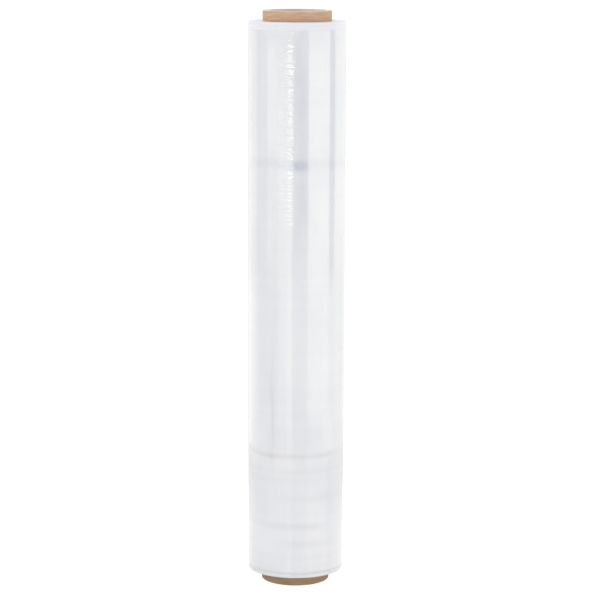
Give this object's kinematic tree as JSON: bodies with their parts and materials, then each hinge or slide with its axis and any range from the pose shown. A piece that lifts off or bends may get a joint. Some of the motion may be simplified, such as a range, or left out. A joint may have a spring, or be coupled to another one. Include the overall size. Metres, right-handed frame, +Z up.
{
  "type": "stretch wrap roll",
  "caption": "Hand roll of clear stretch film wound tight on a spiral-wound paper core that shows at both ends.",
  "frame": {"origin": "on the roll's axis, at the lower end of the paper core, where the roll stands", "axes": "+Z up along the core's axis, -Y towards the camera, +X to the camera's right"},
  "size_m": [0.0875, 0.0876, 0.52],
  "materials": {
    "kraft_core": "matt kraft paper, spiral wound",
    "clear_film": "glossy clear film, milky in many turns"
  },
  "bodies": {
    "root": {"core": "kraft_core", "film": "clear_film"}
  },
  "joints": []
}
